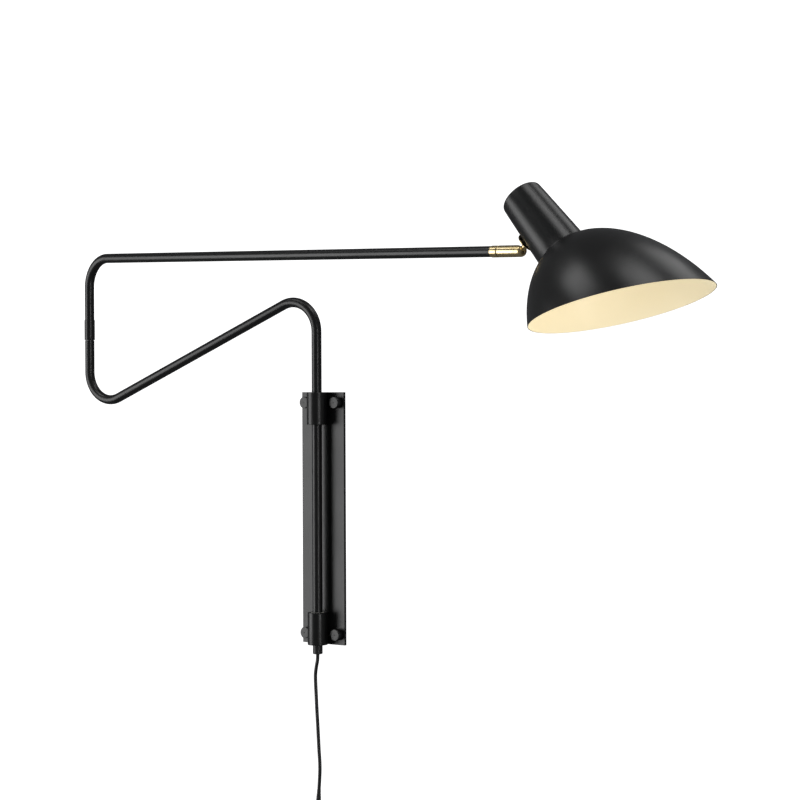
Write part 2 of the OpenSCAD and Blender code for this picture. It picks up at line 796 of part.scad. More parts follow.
module lampholder_cap() {
    color([0.15, 0.15, 0.15]) on_shade() translate([0, 0, holder_z]) difference() {
        turned([[0, 13], [1, 15.5], [holder_cap_len, holder_d / 2]]);
        translate([0, 0, 3]) turned([[0, 12.5], [holder_cap_len, holder_d / 2 - 3]]);
        translate([0, 0, -cut]) cylinder(d = holder_nipple_d, h = 10);
    }
}

module lampholder_body() {
    floor_t = 3;
    color([0.15, 0.15, 0.15]) on_shade() translate([0, 0, holder_z + holder_cap_len]) difference() {
        turned([[0, holder_d / 2], [holder_len - 1, holder_d / 2], [holder_len, holder_d / 2 - 1]]);
        translate([0, 0, floor_t]) cylinder(d = holder_d - 2 * holder_wall, h = holder_len);
        for (x = [-1, 1]) translate([x * 7, 0, -cut]) cylinder(d = 3, h = floor_t + 2 * cut);
    }
}

module lampholder_shell() {
    shell_d = holder_d - 2 * holder_wall;
    color(BRASS) on_shade() translate([0, 0, contact_z]) ring(shell_d, shell_d - 1.6, 22);
}

module centre_contact() {
    color(BRASS) on_shade() translate([0, 0, holder_z + holder_cap_len + 3])
        turned([[0, 6], [1, 6], [1, 2.5], [bulb_cap_z - holder_z - holder_cap_len - 3, 2.5]]);
}

module bulb_cap() {
    color(STEEL) on_shade() translate([0, 0, bulb_cap_z])
        turned([[0, 5], [2, 9], [4, bulb_cap_d / 2], [bulb_cap_len, bulb_cap_d / 2]]);
}

module bulb_globe() {
    wall = 1;
    foot = 11;
    mouth = bulb_cap_z + bulb_cap_len;
    color([0.97, 0.96, 0.92]) on_shade() difference() {
        union() {
            translate([0, 0, globe_z]) sphere(d = bulb_d);
            translate([0, 0, mouth]) cylinder(r = foot + wall, h = globe_z - mouth);
        }
        translate([0, 0, globe_z]) sphere(d = bulb_d - 2 * wall);
        translate([0, 0, mouth - cut]) cylinder(r = foot, h = globe_z - mouth);
    }
}

// The lead from the stud's end to the lampholder
module shade_wire() {
    start = ball_off - (stud_end + 0.3) * cos(neck_lean);
    high = ball_along + (stud_end + 0.3) * sin(neck_lean);
    path = [[start, high], [0, high], [0, shelf_along + 10]];
    color([0.85, 0.85, 0.85]) on_shade() bent_bar(path, 5, 2.6);
}

// ---- Cord, switch and plug ----

module cord_drop() {
    color(BLACK) swept_cord(DROP_ROUTE, cord_d);
}

// The switch's outline: a long case with tapered ends
module switch_outline(inset) {
    w = switch_w / 2 - inset;
    h = switch_len / 2 - inset;
    taper = 10;
    polygon([[-w * 0.45, -h], [w * 0.45, -h], [w, -h + taper], [w, h - taper], [w * 0.45, h],
        [-w * 0.45, h], [-w, h - taper], [-w, -h + taper]]);
}

module on_switch() {
    on_wall_tube() translate([0, 0, switch_top_z - switch_len / 2]) rotate([90, 0, 0]) children();
}

module switch_base() {
    half = switch_d / 2;
    color(BLACK) on_switch() difference() {
        translate([0, 0, -half]) linear_extrude(half) switch_outline(0);
        translate([0, 0, -half + 2]) linear_extrude(half) switch_outline(2);
        rotate([90, 0, 0]) cylinder(d = cord_d, h = switch_len + 2 * cut, center = true);
    }
}

module switch_cover() {
    half = switch_d / 2;
    window = 2 * rocker_r + 2 * gap;
    color(BLACK) on_switch() difference() {
        linear_extrude(half) switch_outline(0);
        translate([0, 0, -cut]) linear_extrude(half - 2 + cut) difference() {
            switch_outline(2);
            square([rocker_w + 5, window + 4], center = true);
        }
        rotate([90, 0, 0]) cylinder(d = cord_d, h = switch_len + 2 * cut, center = true);
        translate([-rocker_w / 2 - gap, -window / 2, -cut])
            cube([rocker_w + 2 * gap, window, half + 2 * cut]);
        translate([0, 0, -rocker_y]) rotate([0, 90, 0])
            cylinder(d = 3 + 2 * running, h = rocker_w + 4, center = true);
    }
}

module switch_rocker() {
    top = 5.4;
    rise = rocker_r * tan(rocker_tilt);
    color([0.2, 0.2, 0.2]) on_switch() translate([0, 0, -rocker_y]) rotate([rocker_tilt, 0, 0]) {
        rotate([90, 0, 90]) linear_extrude(rocker_w, center = true) intersection() {
            circle(r = rocker_r);
            polygon([[-2 * rocker_r, -2.6], [2 * rocker_r, -2.6], [2 * rocker_r, top + 2 * rise], [0, top],
                [-2 * rocker_r, top + 2 * rise]]);
        }
        rotate([0, 90, 0]) cylinder(d = 3, h = rocker_w + 3.4, center = true);
    }
}

module cord_lead() {
    color(BLACK) swept_cord(LEAD_ROUTE, cord_d);
}

module cord_coil() {
    color(BLACK) on_wall_tube() translate([0, 0, coil_z]) rotate([90, 0, 0])
        rotate_extrude() translate([coil_r - coil_side / 2, -coil_side / 2]) square(coil_side);
}

module cord_tie() {
    band = 1;
    color(BLACK) on_wall_tube() translate([0, 0, coil_z]) rotate([0, -14, 0]) translate([0, 0, coil_r])
        difference() {
            cube([7, coil_side + 2 * band, coil_side + 2 * band], center = true);
            cube([9, coil_side, coil_side], center = true);
        }
}

module cord_tail() {
    color(BLACK) swept_cord(TAIL_ROUTE, cord_d);
}

module plug_body() {
    relief = 10;
    half_w = plug_w / 2;
    color(BLACK) on_wall_tube() translate([tail_x, 0, plug_top_z]) difference() {
        union() {
            translate([0, 0, -relief]) turned([[-0.5, 5], [relief - 1, 4], [relief, 3.6]]);
            translate([0, plug_t / 2, 0]) rotate([90, 0, 0]) linear_extrude(plug_t)
                polygon([[-6, -relief + 1], [6, -relief + 1], [half_w, -relief - 12],
                    [half_w, -relief - plug_len],
                    [-half_w, -relief - plug_len], [-half_w, -relief - 12]]);
        }
        for (x = [-1, 1]) translate([x * pin_gap / 2, 0, -relief - plug_len - cut])
            cylinder(d = pin_root_d, h = pin_root_len + cut);
    }
}

module plug_pins() {
    foot = plug_top_z - 10 - plug_len;
    color(BRASS) on_wall_tube() for (x = [-1, 1]) translate([tail_x + x * pin_gap / 2, 0, foot - pin_len])
        turned([[0, pin_d / 2 - 0.8], [0.8, pin_d / 2], [pin_len, pin_d / 2], [pin_len, pin_root_d / 2],
            [pin_len + pin_root_len, pin_root_d / 2]]);
}

wall_bracket();
bracket_studs();
back_plate();
corner_knobs();
upper_clamp();
lower_clamp();
clamp_screws();
upper_bushes();
lower_bush();
cap_bush();
thrust_washer();
lower_arm_tube();
stop_collar();
collar_screw();
cord_gland();
lower_cable();
elbow_stud();
elbow_washer();
elbow_clip();
elbow_sleeve();
upper_arm_tube();
end_ring();
end_nipple();
barrel_washer();
barrel_clip();
upper_cable();
swivel_barrel();
swivel_head();
head_screw();
ball_stud();
lock_nut();
stud_nut();
stud_disc();
saddle_spacer();
shade_neck();
shade_dome();
holder_bracket();
inner_washer();
holder_nipple();
nipple_nut();
lampholder_cap();
lampholder_body();
lampholder_shell();
centre_contact();
bulb_cap();
bulb_globe();
shade_wire();
cord_drop();
switch_base();
switch_cover();
switch_rocker();
cord_lead();
cord_coil();
cord_tie();
cord_tail();
plug_body();
plug_pins();
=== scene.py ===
"""Swing arm wall sconce: the finished pieces, their paints and metals, and the studio."""

import json
from math import acos, atan, cos, pi, radians, sin, sqrt, tan

import bpy
from mathutils import Matrix, Vector


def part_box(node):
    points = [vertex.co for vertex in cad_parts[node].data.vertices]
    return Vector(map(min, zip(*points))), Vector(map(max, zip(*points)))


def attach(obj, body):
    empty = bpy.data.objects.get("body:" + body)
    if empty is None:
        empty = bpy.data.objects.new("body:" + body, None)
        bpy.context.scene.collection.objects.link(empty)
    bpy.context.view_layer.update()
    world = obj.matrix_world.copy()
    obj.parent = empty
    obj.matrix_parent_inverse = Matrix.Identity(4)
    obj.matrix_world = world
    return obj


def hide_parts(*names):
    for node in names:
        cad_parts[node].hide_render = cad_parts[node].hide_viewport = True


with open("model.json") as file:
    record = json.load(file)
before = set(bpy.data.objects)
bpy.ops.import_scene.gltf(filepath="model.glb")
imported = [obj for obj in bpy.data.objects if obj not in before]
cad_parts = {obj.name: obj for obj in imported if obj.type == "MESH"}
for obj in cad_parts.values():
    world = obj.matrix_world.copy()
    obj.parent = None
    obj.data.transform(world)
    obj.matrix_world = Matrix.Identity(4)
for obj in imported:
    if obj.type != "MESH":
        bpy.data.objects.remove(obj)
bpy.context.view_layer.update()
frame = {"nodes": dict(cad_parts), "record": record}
NODES = frame["nodes"]
MM = 0.001

# ---- Sizes, in millimetres unless a name says otherwise ----

WALL_TUBE_Y = -16
TUBE_D = 13
BEND_R = 39
LOWER_REACH = 400
LOWER_RISE = 300
DIAGONAL_ANGLE = 22.6
ELBOW_RISE = 102.8
UPPER_REACH = 754
UPPER_RISE = 113.7
ARM_DROOP = 1.7
LOWER_SWING = 2.4
UPPER_SWING = 6.2
SHADE_DOWN = 46.4
RISER_SEAT = 18.7
BALL_X = 797.6

NECK_TOP_R = 25.1
NECK_TAPER = 0.06
BALL_ALONG = 44
STUD_REACH = 15.7
DOME_R = 113
DOME_HALF_LEN = 191
DOME_MID = 276
RIM_ALONG = 185.5
RIM_TILT = 29.1
SHEET = 1.2

CLAMP_BORE_R = 7.5
CLAMP_R = 13
KNOB_R = 7.5
MACHINED_EDGE = 0.7
SHADE_EDGE_R = 2.5
CREASE_ABOVE = 1
CREASE_BELOW = 0.7

CORD_D = 4.6
COIL_R = 25.3
COIL_Z = -486
DROP_ROUTE = [(0, -16, -175.8), (-0.6, -16, -184), (-2.4, -16, -192), (-4, -16, -202),
              (-3.8, -16, -214), (-3, -16, -228), (-2.2, -16, -243), (-1.2, -16, -258),
              (-0.2, -16, -273), (0.7, -16, -288), (1.6, -16, -302), (2.6, -16, -315),
              (2.8, -16, -327), (1.8, -16, -343), (0.7, -16, -358), (0, -16, -372)]
LEAD_ROUTE = [(0, -16, -426), (0, -16, -434), (1, -17, -442), (4, -18.6, -449),
              (9, -20, -455.7), (15, -20.6, -460)]
RELIEF_LEN = 20
RELIEF_TIP_R = CORD_D / 2 + 0.15
RELIEF_RIBS = 6
RELIEF_GROOVE = 0.35
TAIL_ROUTE = [(29.9, -11.4, -486), (29.9, -12, -494), (29.9, -14, -503), (29.9, -16, -512)]

# ---- Where the sub-assemblies stand ----


def shift(x, y, z):
    return Matrix.Translation((x, y, z))


def spin(degrees, axis):
    return Matrix.Rotation(radians(degrees), 4, axis)


ELBOW_FOOT_Z = LOWER_RISE - LOWER_REACH * tan(radians(DIAGONAL_ANGLE))
SLEEVE_Z = ELBOW_FOOT_Z + ELBOW_RISE
CORNER_Z = SLEEVE_Z + UPPER_RISE
NECK_LEAN = atan(NECK_TAPER)
BALL_OFF = NECK_TOP_R + NECK_TAPER * BALL_ALONG + STUD_REACH / cos(NECK_LEAN)

ON_WALL_TUBE = shift(0, WALL_TUBE_Y, 0)
ON_LOWER_ARM = ON_WALL_TUBE @ spin(180 + LOWER_SWING, "Z")
ON_ELBOW = (ON_LOWER_ARM @ shift(LOWER_REACH, 0, 0) @ spin(-180 - LOWER_SWING - UPPER_SWING, "Z"))
ON_ARM = ON_ELBOW @ shift(0, 0, CORNER_Z) @ spin(ARM_DROOP, "Y")
ON_SHADE = (ON_ARM @ shift(BALL_X, 0, 0) @ spin(90 + SHADE_DOWN - ARM_DROOP, "Y")
            @ shift(-BALL_OFF, 0, -BALL_ALONG))

# ---- Meshes ----


def mesh_piece(name, points, faces, place, paints, sharp=35):
    """A mesh in millimetres, set at its place, smooth except along edges over the sharp angle."""
    mesh = bpy.data.meshes.new(name)
    mesh.from_pydata([(place @ Vector(p)) * MM for p in points], [], faces)
    for paint in paints:
        mesh.materials.append(paint)
    mesh.validate()
    mesh.shade_smooth()
    mesh.set_sharp_from_angle(angle=radians(sharp))
    made = bpy.data.objects.new(name, mesh)
    bpy.context.scene.collection.objects.link(made)
    return made


def grid_faces(rows, columns, around=True):
    """Quads between rows of points; each row closes on itself where around is true."""
    faces = []
    for r in range(rows - 1):
        for c in range(columns if around else columns - 1):
            d = (c + 1) % columns
            here, after = r * columns, (r + 1) * columns
            faces.append((here + c, here + d, after + d, after + c))
    return faces


def softened(outline, radius, steps=4):
    """An outline with a small round on every corner."""
    made = []
    last = len(outline)
    for i, here in enumerate(outline):
        corner = Vector(here)
        back = Vector(outline[i - 1]) - corner
        on = Vector(outline[(i + 1) % last]) - corner
        reach = min(radius, back.length * 0.45, on.length * 0.45)
        start = corner + back.normalized() * reach
        end = corner + on.normalized() * reach
        for k in range(steps + 1):
            t = k / steps
            made.append(start * (1 - t) ** 2 + corner * 2 * t * (1 - t) + end * t ** 2)
    return made


def turned(name, outline, place, paints, around=72, edge=0.4):
    """A ring-shaped piece turned about z from a closed outline of (z, radius)."""
    profile = softened(outline, edge)
    points = []
    for z, r in profile:
        for k in range(around):
            a = 2 * pi * k / around
            points.append((r * cos(a), r * sin(a), z))
    faces = grid_faces(len(profile), around)
    first = (len(profile) - 1) * around
    faces += [(first + k, first + (k + 1) % around, (k + 1) % around, k) for k in range(around)]
    return mesh_piece(name, points, faces, place, paints)


def bent_line(corners, radius, step=3):
    """Points along straights joined by arcs, in the xz plane."""
    line = [Vector(corners[0])]
    for before, here, after in zip(corners, corners[1:], corners[2:]):
        here = Vector(here)
        way = (here - Vector(before)).normalized()
        on = (Vector(after) - here).normalized()
        turn = acos(max(-1, min(1, way.dot(on))))
        side = 1 if way.x * on.y - way.y * on.x > 0 else -1
        start = here - way * radius * tan(turn / 2)
        centre = start + Vector((-way.y, way.x)) * radius * side
        count = max(6, int(turn / radians(step)))
        for k in range(count + 1):
            a = side * turn * k / count
            arm = start - centre
            line.append(centre + Vector((arm.x * cos(a) - arm.y * sin(a), arm.x * sin(a) + arm.y * cos(a))))
    line.append(Vector(corners[-1]))
    return [Vector((p.x, 0, p.y)) for p in line]


def tube_piece(name, line, radius, place, paints, around=40):
    """A closed round bar along a line that stays in the xz plane."""
    points = []
    for i, here in enumerate(line):
        way = (line[min(i + 1, len(line) - 1)] - line[max(i - 1, 0)]).normalized()
        side = Vector((0, 1, 0))
        up = way.cross(side)
        for k in range(around):
            a = 2 * pi * k / around
            points.append(here + side * radius * cos(a) + up * radius * sin(a))
    faces = grid_faces(len(line), around)
    faces.append(tuple(range(around)))
    faces.append(tuple(reversed(range((len(line) - 1) * around, len(line) * around))))
    return mesh_piece(name, points, faces, place, paints)


def standing_for(piece, body, slot, *nodes):
    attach(piece, body)
    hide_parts(*nodes)
    return piece


# ---- Camera ----

CAMERA_PLACE_M = (1.84647, -2.21496, 0.17882)
CAMERA_HEADING = 37.87
CAMERA_PITCH = -0.516
CAMERA_ROLL = -0.215
LENS = 99.79


def make_camera():
    data = bpy.data.cameras.new("camera")
    data.lens = LENS
    data.sensor_width = 36
    camera = bpy.data.objects.new("camera", data)
    camera.matrix_world = (Matrix.Translation(CAMERA_PLACE_M) @ spin(CAMERA_HEADING, "Z")
                           @ spin(90 + CAMERA_PITCH, "X") @ spin(CAMERA_ROLL, "Z"))
    bpy.context.scene.collection.objects.link(camera)
    bpy.context.scene.camera = camera


# ---- Paints and metals ----


class Wire:
    """A node's output that can be used in sums."""

    def __init__(self, paint, socket):
        self.paint = paint
        self.socket = socket

    def _sum(self, operation, first, second):
        return self.paint.node("Math", {"operation": operation}, [first, second])

    def __add__(self, other):
        return self._sum("ADD", self, other)

    def __mul__(self, other):
        return self._sum("MULTIPLY", self, other)

    __radd__ = __add__
    __rmul__ = __mul__


class Paint:
    """A material that is built node by node."""

    def __init__(self, name):
        self.material = bpy.data.materials.new(name)
        self.material.use_nodes = True
        self.tree = self.material.node_tree
        self.tree.nodes.clear()
        self.here = self.node("TexCoord", {}, {}, "Object")

    def node(self, kind, settings, values, output=0):
        made = self.tree.nodes.new("ShaderNode" + kind)
        for key, value in settings.items():
            if key == "stops":
                ends = made.color_ramp.elements
                ends[0].position, ends[0].color = value[0]
                ends[1].position, ends[1].color = value[-1]
                for place, colour in value[1:-1]:
                    ends.new(place).color = colour
            else:
                setattr(made, key, value)
        pairs = values.items() if isinstance(values, dict) else enumerate(values)
        for key, value in pairs:
            if isinstance(value, Wire):
                self.tree.links.new(value.socket, made.inputs[key])
            else:
                made.inputs[key].default_value = value
        return Wire(self, made.outputs[output])

    def noise(self, per_metre, detail=3, rough=0.5, stretch=(1, 1, 1)):
        place = self.node("Mapping", {}, {"Vector": self.here, "Scale": stretch})
        return self.node("TexNoise", {}, {"Vector": place, "Scale": per_metre, "Detail": detail,
                                          "Roughness": rough})

    def spread(self, wire, low, high, to_low=0, to_high=1):
        return self.node("MapRange", {}, [wire, low, high, to_low, to_high])

    def between(self, amount, first, second):
        """A colour between two colours."""
        return self.node("Mix", {"data_type": "RGBA"}, {0: amount, 6: first, 7: second}, 2)

    def bump(self, height, depth_mm, strength=1):
        return self.node("Bump", {}, {"Height": height, "Distance": depth_mm * MM, "Strength": strength})

    def surface(self, **sockets):
        made = self.node("BsdfPrincipled", {}, {k.replace("_", " "): v for k, v in sockets.items()})
        self.node_out(made)
        return self.material

    def node_out(self, shader):
        end = self.tree.nodes.new("ShaderNodeOutputMaterial")
        self.tree.links.new(shader.socket, end.inputs["Surface"])


def grey(v, warm=0.0):
    return (v * (1 + warm), v, v * (1 - warm), 1)


def powder_coat(name, level, roughness):
    """Fine-grained satin black powder coat with a faint orange peel."""
    paint = Paint(name)
    grain = paint.noise(2600, 2)
    peel = paint.noise(420, 3, 0.55)
    cloud = paint.noise(14, 4, 0.6)
    colour = paint.between(cloud, grey(level * 0.8, -0.02), grey(level * 1.3, -0.02))
    rough = paint.spread(cloud, 0.3, 0.7, roughness - 0.03, roughness + 0.03) + grain * 0.05
    normal = paint.bump(peel * 0.7 + grain * 0.3, 0.02, 0.5)
    return paint.surface(Base_Color=colour, Roughness=rough, Normal=normal, Specular_IOR_Level=0.5)


def cream_enamel_painted_glow():
    """Warm cream enamel on the shade's inside, with a painted glow: the enamel itself emits warm light in
    place of the light its bulb would throw on it.
    """
    paint = Paint("cream_enamel_painted_glow")
    cloud = paint.noise(18, 4, 0.6)
    peel = paint.noise(380, 3, 0.55)
    colour = paint.between(cloud, (0.78, 0.70, 0.56, 1), (0.84, 0.76, 0.62, 1))
    rough = paint.spread(cloud, 0.3, 0.7, 0.34, 0.44)
    # painted glow: a warm emission on the enamel that stands in for the bulb lighting the inside of the
    # shade
    painted_bulb_glow = paint.between(cloud, (1.0, 0.87, 0.55, 1), (1.0, 0.90, 0.60, 1))
    return paint.surface(Base_Color=colour, Roughness=rough, Normal=paint.bump(peel, 0.02, 0.4),
                         Emission_Color=painted_bulb_glow, Emission_Strength=0.46)


def turned_metal(name, low, high, roughness, rubbed=0.0):
    """Polished or plated metal with turning lines, handling marks and a little tarnish."""
    paint = Paint(name)
    lines = paint.noise(2200, 2, 0.5, (1, 0.06, 0.06))
    cloud = paint.noise(60, 4, 0.6)
    specks = paint.noise(700, 2)
    colour = paint.between(paint.spread(cloud, 0.35, 0.7), high, low)
    rough = paint.spread(cloud, 0.3, 0.7, roughness, roughness + 0.1) + specks * rubbed
    return paint.surface(Base_Color=colour, Metallic=1.0, Roughness=rough,
                         Normal=paint.bump(lines, 0.006, 0.5))


def moulded(name, low, high, roughness, grain_per_metre=1500, depth=0.02):
    """Moulded plastic with a fine spark-eroded grain."""
    paint = Paint(name)
    grain = paint.noise(grain_per_metre, 3, 0.6)
    cloud = paint.noise(30, 3)
    colour = paint.between(cloud, low, high)
    rough = paint.spread(grain, 0.3, 0.7, roughness - 0.05, roughness + 0.06)
    return paint.surface(Base_Color=colour, Roughness=rough, Normal=paint.bump(grain, depth, 0.6))


def opal_glass():
    """Opal bulb glass that glows evenly."""
    paint = Paint("opal_glass")
    cloud = paint.noise(40, 3)
    colour = paint.between(cloud, (0.97, 0.93, 0.84, 1), (1, 0.97, 0.9, 1))
    return paint.surface(Base_Color=colour, Roughness=paint.spread(cloud, 0.3, 0.7, 0.12, 0.2),
                         Emission_Color=paint.between(cloud, (1, 0.82, 0.55, 1), (1, 0.88, 0.66, 1)),
                         Emission_Strength=0.6)


BLACK_SATIN = powder_coat("black_satin", 0.007, 0.3)
FINISHES = {
    "black_satin": BLACK_SATIN,
    "shade_sheet": BLACK_SATIN,
    "brass": turned_metal("brass", (0.66, 0.50, 0.22, 1), (0.88, 0.72, 0.42, 1), 0.2, 0.04),
    "zinc_steel": turned_metal("zinc_steel", (0.45, 0.46, 0.47, 1), (0.66, 0.67, 0.68, 1), 0.34, 0.08),
    "nickel": turned_metal("nickel", (0.66, 0.63, 0.58, 1), (0.80, 0.78, 0.74, 1), 0.2, 0.04),
    "nylon": moulded("nylon", (0.60, 0.59, 0.54, 1), (0.70, 0.69, 0.64, 1), 0.5),
    "black_plastic": moulded("black_plastic", grey(0.014), grey(0.022), 0.42),
    "cable_pvc": moulded("cable_pvc", grey(0.008), grey(0.014), 0.36, 900, 0.01),
    "wire_white": moulded("wire_white", grey(0.66), grey(0.76), 0.35),
    "opal_glass": opal_glass(),
}
CREAM_ENAMEL_PAINTED_GLOW = cream_enamel_painted_glow()


def finish_nodes():
    """Each carried-over node takes its own slot's finish."""
    for part in frame["record"]["subparts"]:
        node = NODES[part["node"]]
        node.data.materials.clear()
        node.data.materials.append(FINISHES[part["material_slot"]])


# ---- Cord ----


def flowing(route, step=2.5):
    """A smooth line through a route's points."""
    points = [Vector(p) for p in route]
    points = [points[0] * 2 - points[1]] + points + [points[-1] * 2 - points[-2]]
    line = []
    for a, b, c, d in zip(points, points[1:], points[2:], points[3:]):
        count = max(2, int((c - b).length / step))
        for k in range(count):
            t = k / count
            line.append(0.5 * (2 * b + (c - a) * t + (2 * a - 5 * b + 4 * c - d) * t ** 2
                               + (3 * b - a - 3 * c + d) * t ** 3))
    line.append(points[-2])
    return line


def coil_line(step=5):
    """Nine turns that fill a square section three cords wide, in winding order."""
    cells = [(1, -1), (1, 0), (0, 0), (0, -1), (-1, -1), (-1, 0), (-1, 1), (0, 1), (1, 1)]
    change = 120
    start = 60
    total = 360 * len(cells) + start
    line = []
    for turned_by in range(step, total, step):
        turn = min(turned_by // 360, len(cells) - 1)
        here = cells[turn]
        after = cells[min(turn + 1, len(cells) - 1)]
        wound = turned_by >= 360 * len(cells)
        t = 0 if wound else max(0, (turned_by - turn * 360 - (360 - change)) / change)
        t = t * t * (3 - 2 * t)
        r = COIL_R + CORD_D * (here[0] * (1 - t) + after[0] * t)
        y = CORD_D * (here[1] * (1 - t) + after[1] * t)
        a = radians(start - turned_by)
        line.append(Vector((r * cos(a), WALL_TUBE_Y + y, COIL_Z + r * sin(a))))
    return line


def strain_relief(name, line, root_r):
    """A ribbed sleeve that tapers along the cord, from its housing at the line's start."""
    points = []
    rings = 0
    gone = 0
    around = 32
    for here, after in zip(line, line[1:]):
        if gone > RELIEF_LEN:
            break
        way = (after - here).normalized()
        side = way.orthogonal().normalized()
        up = way.cross(side)
        steps = 5
        for k in range(steps):
            along = gone + (after - here).length * k / steps
            share = along / RELIEF_LEN
            groove = RELIEF_GROOVE if share * RELIEF_RIBS % 1 > 0.7 and share < 0.9 else 0
            r = root_r + (RELIEF_TIP_R - root_r) * min(1, share) - groove
            middle = here + (after - here) * k / steps
            points += [middle + (side * cos(2 * pi * j / around) + up * sin(2 * pi * j / around)) * r
                       for j in range(around)]
            rings += 1
        gone += (after - here).length
    faces = [tuple(reversed(f)) for f in grid_faces(rings, around)]
    faces.append(tuple(range(around)))
    faces.append(tuple(reversed(range((rings - 1) * around, rings * around))))
    sleeve = mesh_piece(name, points, faces, Matrix.Identity(4), [FINISHES["black_plastic"]])
    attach(sleeve, "wall_unit")
    return sleeve


def make_cord():
    line = flowing(DROP_ROUTE) + flowing(LEAD_ROUTE) + coil_line() + flowing(TAIL_ROUTE)
    curve = bpy.data.curves.new("cord", "CURVE")
    curve.dimensions = "3D"
    curve.bevel_depth = CORD_D / 2 * MM
    curve.bevel_resolution = 4
    curve.use_fill_caps = True
    spline = curve.splines.new("POLY")
    spline.points.add(len(line) - 1)
    for point, place in zip(spline.points, line):
        point.co = (*(place * MM), 1)
    spline.use_smooth = True
    cord = bpy.data.objects.new("cord", curve)
    curve.materials.append(FINISHES["cable_pvc"])
    bpy.context.scene.collection.objects.link(cord)
    standing_for(cord, "wall_unit", "cable_pvc", "cord_drop", "cord_lead", "cord_coil", "cord_tail")
    on_it = [NODES[n] for n in ("switch_base", "switch_cover", "switch_rocker", "cord_tie",
                                "plug_body", "plug_pins")]
    on_it.append(strain_relief("relief_switch_top", flowing(DROP_ROUTE)[::-1], 3.7))
    on_it.append(strain_relief("relief_switch_foot", flowing(LEAD_ROUTE), 3.7))
    on_it.append(strain_relief("relief_plug", flowing(TAIL_ROUTE)[::-1], 4.6))


# ---- Arms ----


def make_arms():
    tube_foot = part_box("lower_arm_tube")[0].z / MM
    riser_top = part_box("elbow_washer")[0].z / MM
    lower = bent_line([(0, tube_foot), (0, LOWER_RISE), (LOWER_REACH, ELBOW_FOOT_Z),
                       (LOWER_REACH, riser_top)], BEND_R)
    standing_for(tube_piece("lower_arm", lower, TUBE_D / 2, ON_LOWER_ARM, [BLACK_SATIN]),
                 "lower_arm", "black_satin", "lower_arm_tube")
    droop = radians(ARM_DROOP)
    upper = bent_line([(0, SLEEVE_Z + RISER_SEAT), (0, CORNER_Z),
                       (UPPER_REACH * cos(droop), CORNER_Z - UPPER_REACH * sin(droop))], BEND_R)
    standing_for(tube_piece("upper_arm", upper, TUBE_D / 2, ON_ELBOW, [BLACK_SATIN]),
                 "upper_arm", "black_satin", "upper_arm_tube")


# ---- Shade ----


def shade_rows(inset, side):
    """Points (radius, z) down the shade's outside, or a face inset from it, at one side of the axis."""
    ratio = (DOME_R / DOME_HALF_LEN) ** 2
    a = NECK_TAPER ** 2 + ratio
    b = 2 * (NECK_TOP_R * NECK_TAPER - ratio * DOME_MID)
    c = NECK_TOP_R ** 2 + ratio * DOME_MID ** 2 - DOME_R ** 2
    crease = (-b - sqrt(b * b - 4 * a * c)) / (2 * a)
    edge = SHADE_EDGE_R
    rows = [(0.01, inset)]
    corner_r = edge - inset
    for k in range(7):
        turn = radians(90 * k / 6)
        rows.append((NECK_TOP_R - edge + corner_r * sin(turn), edge - corner_r * cos(turn)))
    for k in range(1, 9):
        z = edge + (crease - CREASE_ABOVE - edge) * k / 8
        rows.append((NECK_TOP_R + NECK_TAPER * z - inset, z))
    dome_r, half_len = DOME_R - inset, DOME_HALF_LEN - inset

    def oval(t):
        return dome_r * sin(t), DOME_MID - half_len * cos(t)

    first = acos((DOME_MID - crease - CREASE_BELOW) / half_len)
    low, high = first, pi / 2
    for _ in range(40):
        mid = (low + high) / 2
        r, z = oval(mid)
        past = sin(radians(RIM_TILT)) * r * cos(side) + cos(radians(RIM_TILT)) * (z - RIM_ALONG)
        low, high = (low, mid) if past > 0 else (mid, high)
    fillet_from, fillet_to = Vector(rows[-1]), Vector(oval(first))
    bend = Vector((NECK_TOP_R + NECK_TAPER * crease - inset, crease))
    for k in range(1, 5):
        t = k / 5
        rows.append(tuple(fillet_from * (1 - t) ** 2 + bend * 2 * t * (1 - t) + fillet_to * t ** 2))
    steps = 40
    rows += [oval(first + (low - first) * k / steps) for k in range(steps + 1)]
    return rows


def make_shade():
    around = 144
    columns = []
    for k in range(around):
        side = 2 * pi * k / around
        outside = shade_rows(0, side)
        inside = shade_rows(SHEET, side)
        lip = (Vector(outside[-1]) + Vector(inside[-1])) / 2
        column = outside + [tuple(lip)] + list(reversed(inside))
        columns.append([(r * cos(side), r * sin(side), z) for r, z in column])
    rows = len(columns[0])
    outer_rows = rows // 2
    points = [columns[k][r] for r in range(rows) for k in range(around)]
    faces = [tuple(reversed(f)) for f in grid_faces(rows, around)]
    faces.append(tuple(range(around)))
    faces.append(tuple(reversed(range((rows - 1) * around, rows * around))))
    shade = mesh_piece("shade", points, faces, ON_SHADE, [BLACK_SATIN, CREAM_ENAMEL_PAINTED_GLOW])
    for face in shade.data.polygons[outer_rows * around:(rows - 1) * around]:
        face.material_index = 1
    shade.data.polygons[-1].material_index = 1
    standing_for(shade, "shade", "shade_sheet", "shade_neck", "shade_dome")


# ---- Clamps and knobs ----


def make_clamps():
    plate_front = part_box("back_plate")[0].y / MM
    for node in ("upper_clamp", "lower_clamp"):
        low, high = [corner.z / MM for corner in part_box(node)]
        outline = [(low, CLAMP_BORE_R), (low, CLAMP_R), (high, CLAMP_R), (high, CLAMP_BORE_R)]
        clamp = turned(node + "_body", outline, ON_WALL_TUBE, [BLACK_SATIN], 96, MACHINED_EDGE)
        for v in clamp.data.vertices:
            v.co.y = min(v.co.y, plate_front * MM)
        standing_for(clamp, "wall_unit", "black_satin", node)


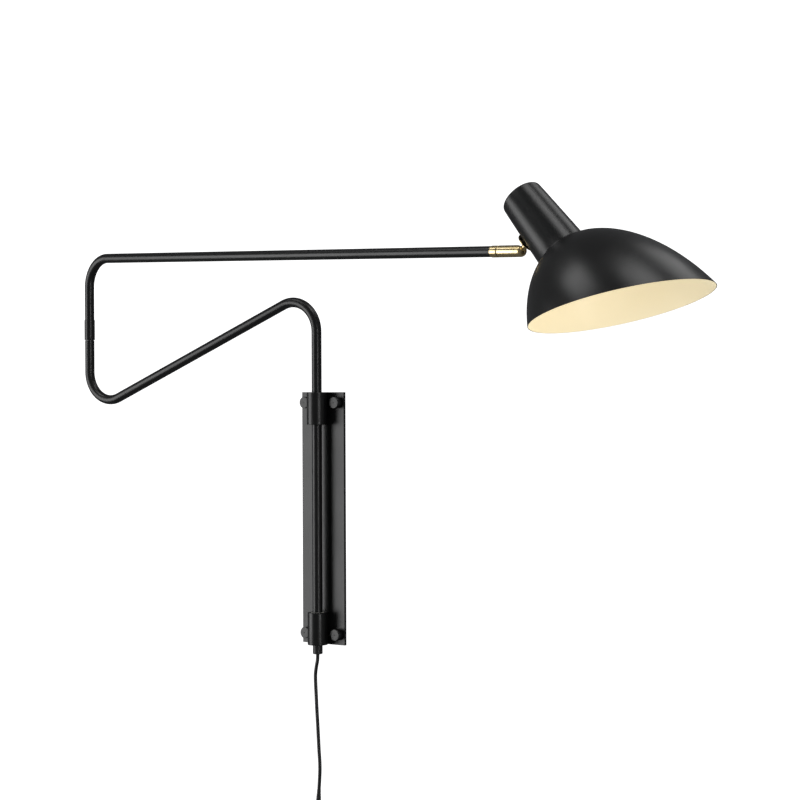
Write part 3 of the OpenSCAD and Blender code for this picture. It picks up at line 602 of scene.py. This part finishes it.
def make_knobs():
    low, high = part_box("corner_knobs")
    r = KNOB_R
    length = (high.y - low.y) / MM
    for x in (low.x / MM + r, high.x / MM - r):
        for z in (low.z / MM + r, high.z / MM - r):
            place = shift(x, high.y / MM, z) @ spin(90, "X")
            name = f"knob_{'left' if x < 0 else 'right'}_{'foot' if z < 0 else 'top'}"
            outline = [(0, 0.01), (0, r), (length, r), (length, 0.01)]
            knob = turned(name, outline, place, [BLACK_SATIN], 72, MACHINED_EDGE)
            standing_for(knob, "wall_unit", "black_satin", "corner_knobs")


# ---- Studio ----

FLOOR_Z_M = -1.3
STAGE_R_M = 16
STAGE_TALL_M = 24
STAGE_SIDES = 96

# Name, place and target in metres, width, height and power
SOFT_BOXES = [
    ("key", (-2.15, -2.1, -0.05), (0.1, -0.1, 0.05), 2.0, 2.2, 44),
    ("strip", (2.9, -1.2, 0.1), (0, 0, 0), 0.35, 2.2, 15),
    ("over", (0.85, -0.25, 2.4), (0.44, -0.14, 0.36), 0.9, 0.9, 8.5),
    ("behind", (0.71, 1.21, 1.9), (0.6, -0.16, 0.3), 0.9, 0.9, 4.2),
    ("high_left", (-0.83, -1.06, 2.03), (0.54, -0.22, 0.28), 0.9, 0.9, 7),
]


def stage_piece(name, points, faces, brightness):
    """A pale and evenly bright piece of the stage, which doesn't show in the object's gloss."""
    mesh = bpy.data.meshes.new(name)
    mesh.from_pydata(points, [], faces)
    piece = bpy.data.objects.new(name, mesh)
    paint = Paint(name)
    mesh.materials.append(paint.surface(Base_Color=(0.85, 0.85, 0.85, 1), Roughness=0.9,
                                        Emission_Color=(1, 1, 1, 1), Emission_Strength=brightness))
    piece.visible_glossy = False
    piece.visible_diffuse = False
    bpy.context.scene.collection.objects.link(piece)


def stage_ring(z):
    turns = [2 * pi * k / STAGE_SIDES for k in range(STAGE_SIDES)]
    return [(STAGE_R_M * cos(a), STAGE_R_M * sin(a), z) for a in turns]


def soft_box(name, place_m, target_m, width, height, power):
    data = bpy.data.lights.new(name, "AREA")
    data.shape = "RECTANGLE"
    data.size = width
    data.size_y = height
    data.energy = power
    lamp = bpy.data.objects.new(name, data)
    lamp.visible_camera = False
    lamp.location = place_m
    lamp.rotation_euler = (Vector(target_m) - Vector(place_m)).to_track_quat("-Z", "Y").to_euler()
    bpy.context.scene.collection.objects.link(lamp)


def make_studio():
    scene = bpy.context.scene
    world = bpy.data.worlds.new("studio")
    scene.world = world
    world.use_nodes = True
    air = world.node_tree.nodes["Background"]
    air.inputs["Color"].default_value = (0.9, 0.92, 0.95, 1)
    air.inputs["Strength"].default_value = 0.12
    scene.view_settings.view_transform = "Standard"
    stage_piece("floor", stage_ring(FLOOR_Z_M), [tuple(range(STAGE_SIDES))], 1.1)
    walls = stage_ring(FLOOR_Z_M) + stage_ring(FLOOR_Z_M + STAGE_TALL_M)
    stage_piece("backdrop", walls, grid_faces(2, STAGE_SIDES), 1.2)
    for lamp in SOFT_BOXES:
        soft_box(*lamp)


make_camera()
make_cord()
finish_nodes()
make_arms()
make_shade()
make_clamps()
make_knobs()
make_studio()
